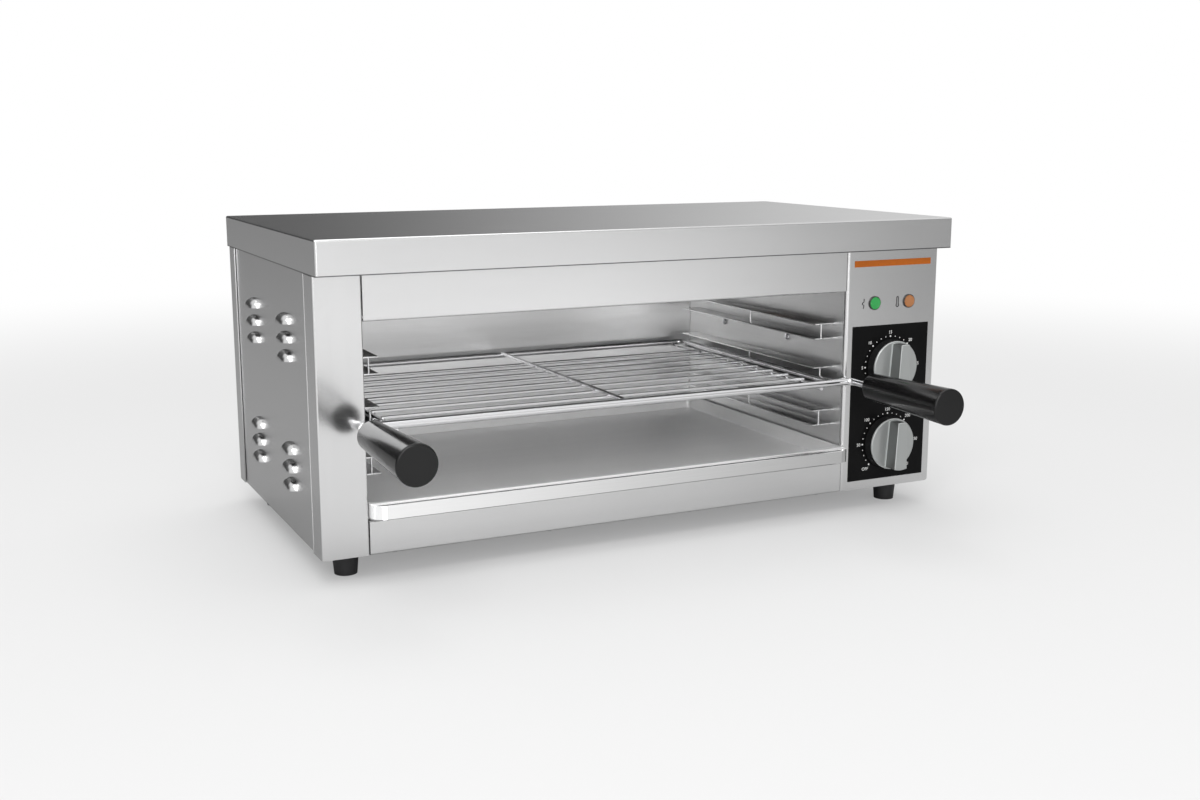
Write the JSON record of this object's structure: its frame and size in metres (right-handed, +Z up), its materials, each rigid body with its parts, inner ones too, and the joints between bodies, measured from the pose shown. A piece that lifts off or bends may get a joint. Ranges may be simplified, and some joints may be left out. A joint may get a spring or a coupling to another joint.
{
  "type": "salamander toaster",
  "caption": "Countertop salamander toaster: steel casing, heated chamber with a sliding wire grid on runners, crumb tray, timer and thermostat knobs.",
  "frame": {"origin": "on the worktop under the middle of the whole toaster, from the grips' front faces to the tail of the cable gland and from louvre to louvre", "axes": "+X to the right seen from the front, along the casing; +Y from the front to the back; +Z up"},
  "size_m": [0.6184, 0.4634, 0.278],
  "materials": {
    "casing_steel": "fine brushed stainless sheet",
    "liner_steel": "satin stainless sheet",
    "plated_steel": "plain plated sheet",
    "runner_steel": "satin stainless strip",
    "screw_steel": "bright plated steel",
    "foot_rubber": "matt black moulded rubber",
    "insulation_board": "pressed mineral fibre",
    "element_sheath": "dark oxidised sheath",
    "bush_ceramic": "cream glazed steatite",
    "grid_wire": "bright chromed wire",
    "grip_plastic": "black phenolic with a soft gloss",
    "tray_steel": "bright stainless sheet",
    "dial_black": "gloss black plate with pale marks",
    "stripe_orange": "orange printed stripe",
    "lens_green": "faceted translucent green",
    "lens_amber": "faceted translucent amber",
    "moulded_black": "matt black moulding",
    "knob_silver": "silver lacquered moulding",
    "knob_black": "black moulding",
    "capillary_copper": "drawn copper tube",
    "terminal_white": "white moulding"
  },
  "bodies": {
    "housing": {"top_cover": "casing_steel", "front_left_post": "casing_steel", "control_panel": "casing_steel", "upper_fascia": "casing_steel", "lower_fascia": "casing_steel", "left_side_panel": "casing_steel", "right_side_panel": "casing_steel", "rear_panel": "casing_steel", "liner_left": "liner_steel", "liner_right": "liner_steel", "liner_rear": "liner_steel", "ceiling_reflector": "liner_steel", "cover_rails": "plated_steel", "base_plate": "plated_steel", "top_deck": "plated_steel", "element_hangers": "plated_steel", "tray_rail_left": "plated_steel", "tray_rail_right": "plated_steel", "runner_left_top": "runner_steel", "runner_left_middle": "runner_steel", "runner_left_bottom": "runner_steel", "runner_right_top": "runner_steel", "runner_right_middle": "runner_steel", "runner_right_bottom": "runner_steel", "foot_screws": "screw_steel", "foot_nuts": "screw_steel", "base_screws": "screw_steel", "rear_screws": "screw_steel", "liner_screws": "screw_steel", "feet": "foot_rubber", "insulation_pad": "insulation_board", "heating_element_front": "element_sheath", "heating_element_rear": "element_sheath", "element_bushes": "bush_ceramic", "dial_plate": "dial_black", "trim_stripe": "stripe_orange", "lamp_lens_green": "lens_green", "lamp_lens_amber": "lens_amber", "lamp_housings": "moulded_black", "timer_body": "moulded_black", "thermostat_body": "moulded_black", "thermostat_probe": "capillary_copper", "cable_gland": "moulded_black", "gland_nut": "moulded_black", "terminal_block": "terminal_white"},
    "grid": {"grid_handle_rod": "grid_wire", "grid_frame": "grid_wire", "grid_cross_wires": "grid_wire", "grid_centre_wire": "grid_wire", "grid_side_wires": "grid_wire", "grip_left": "grip_plastic", "grip_right": "grip_plastic"},
    "crumb_tray": {"crumb_tray": "tray_steel"},
    "timer_knob": {"timer_knob_cap": "knob_silver", "timer_knob_skirt": "knob_black", "timer_shaft": "screw_steel"},
    "thermostat_knob": {"thermostat_knob_cap": "knob_silver", "thermostat_knob_skirt": "knob_black", "thermostat_shaft": "screw_steel"}
  },
  "joints": [
    {"name": "grid_slide", "type": "slide", "parent": "housing", "child": "grid", "axis": [0, -1, 0], "range_m": [0, 0.2]},
    {"name": "tray_slide", "type": "slide", "parent": "housing", "child": "crumb_tray", "axis": [0, -1, 0], "range_m": [0, 0.22]},
    {"name": "timer_turn", "type": "hinge", "parent": "housing", "child": "timer_knob", "pos_m": [0.24965, -0.0882, 0.1395], "axis": [0, 1, 0], "range_deg": [-135, 135]},
    {"name": "thermostat_turn", "type": "hinge", "parent": "housing", "child": "thermostat_knob", "pos_m": [0.24965, -0.0882, 0.0653], "axis": [0, 1, 0], "range_deg": [-135, 135]}
  ]
}
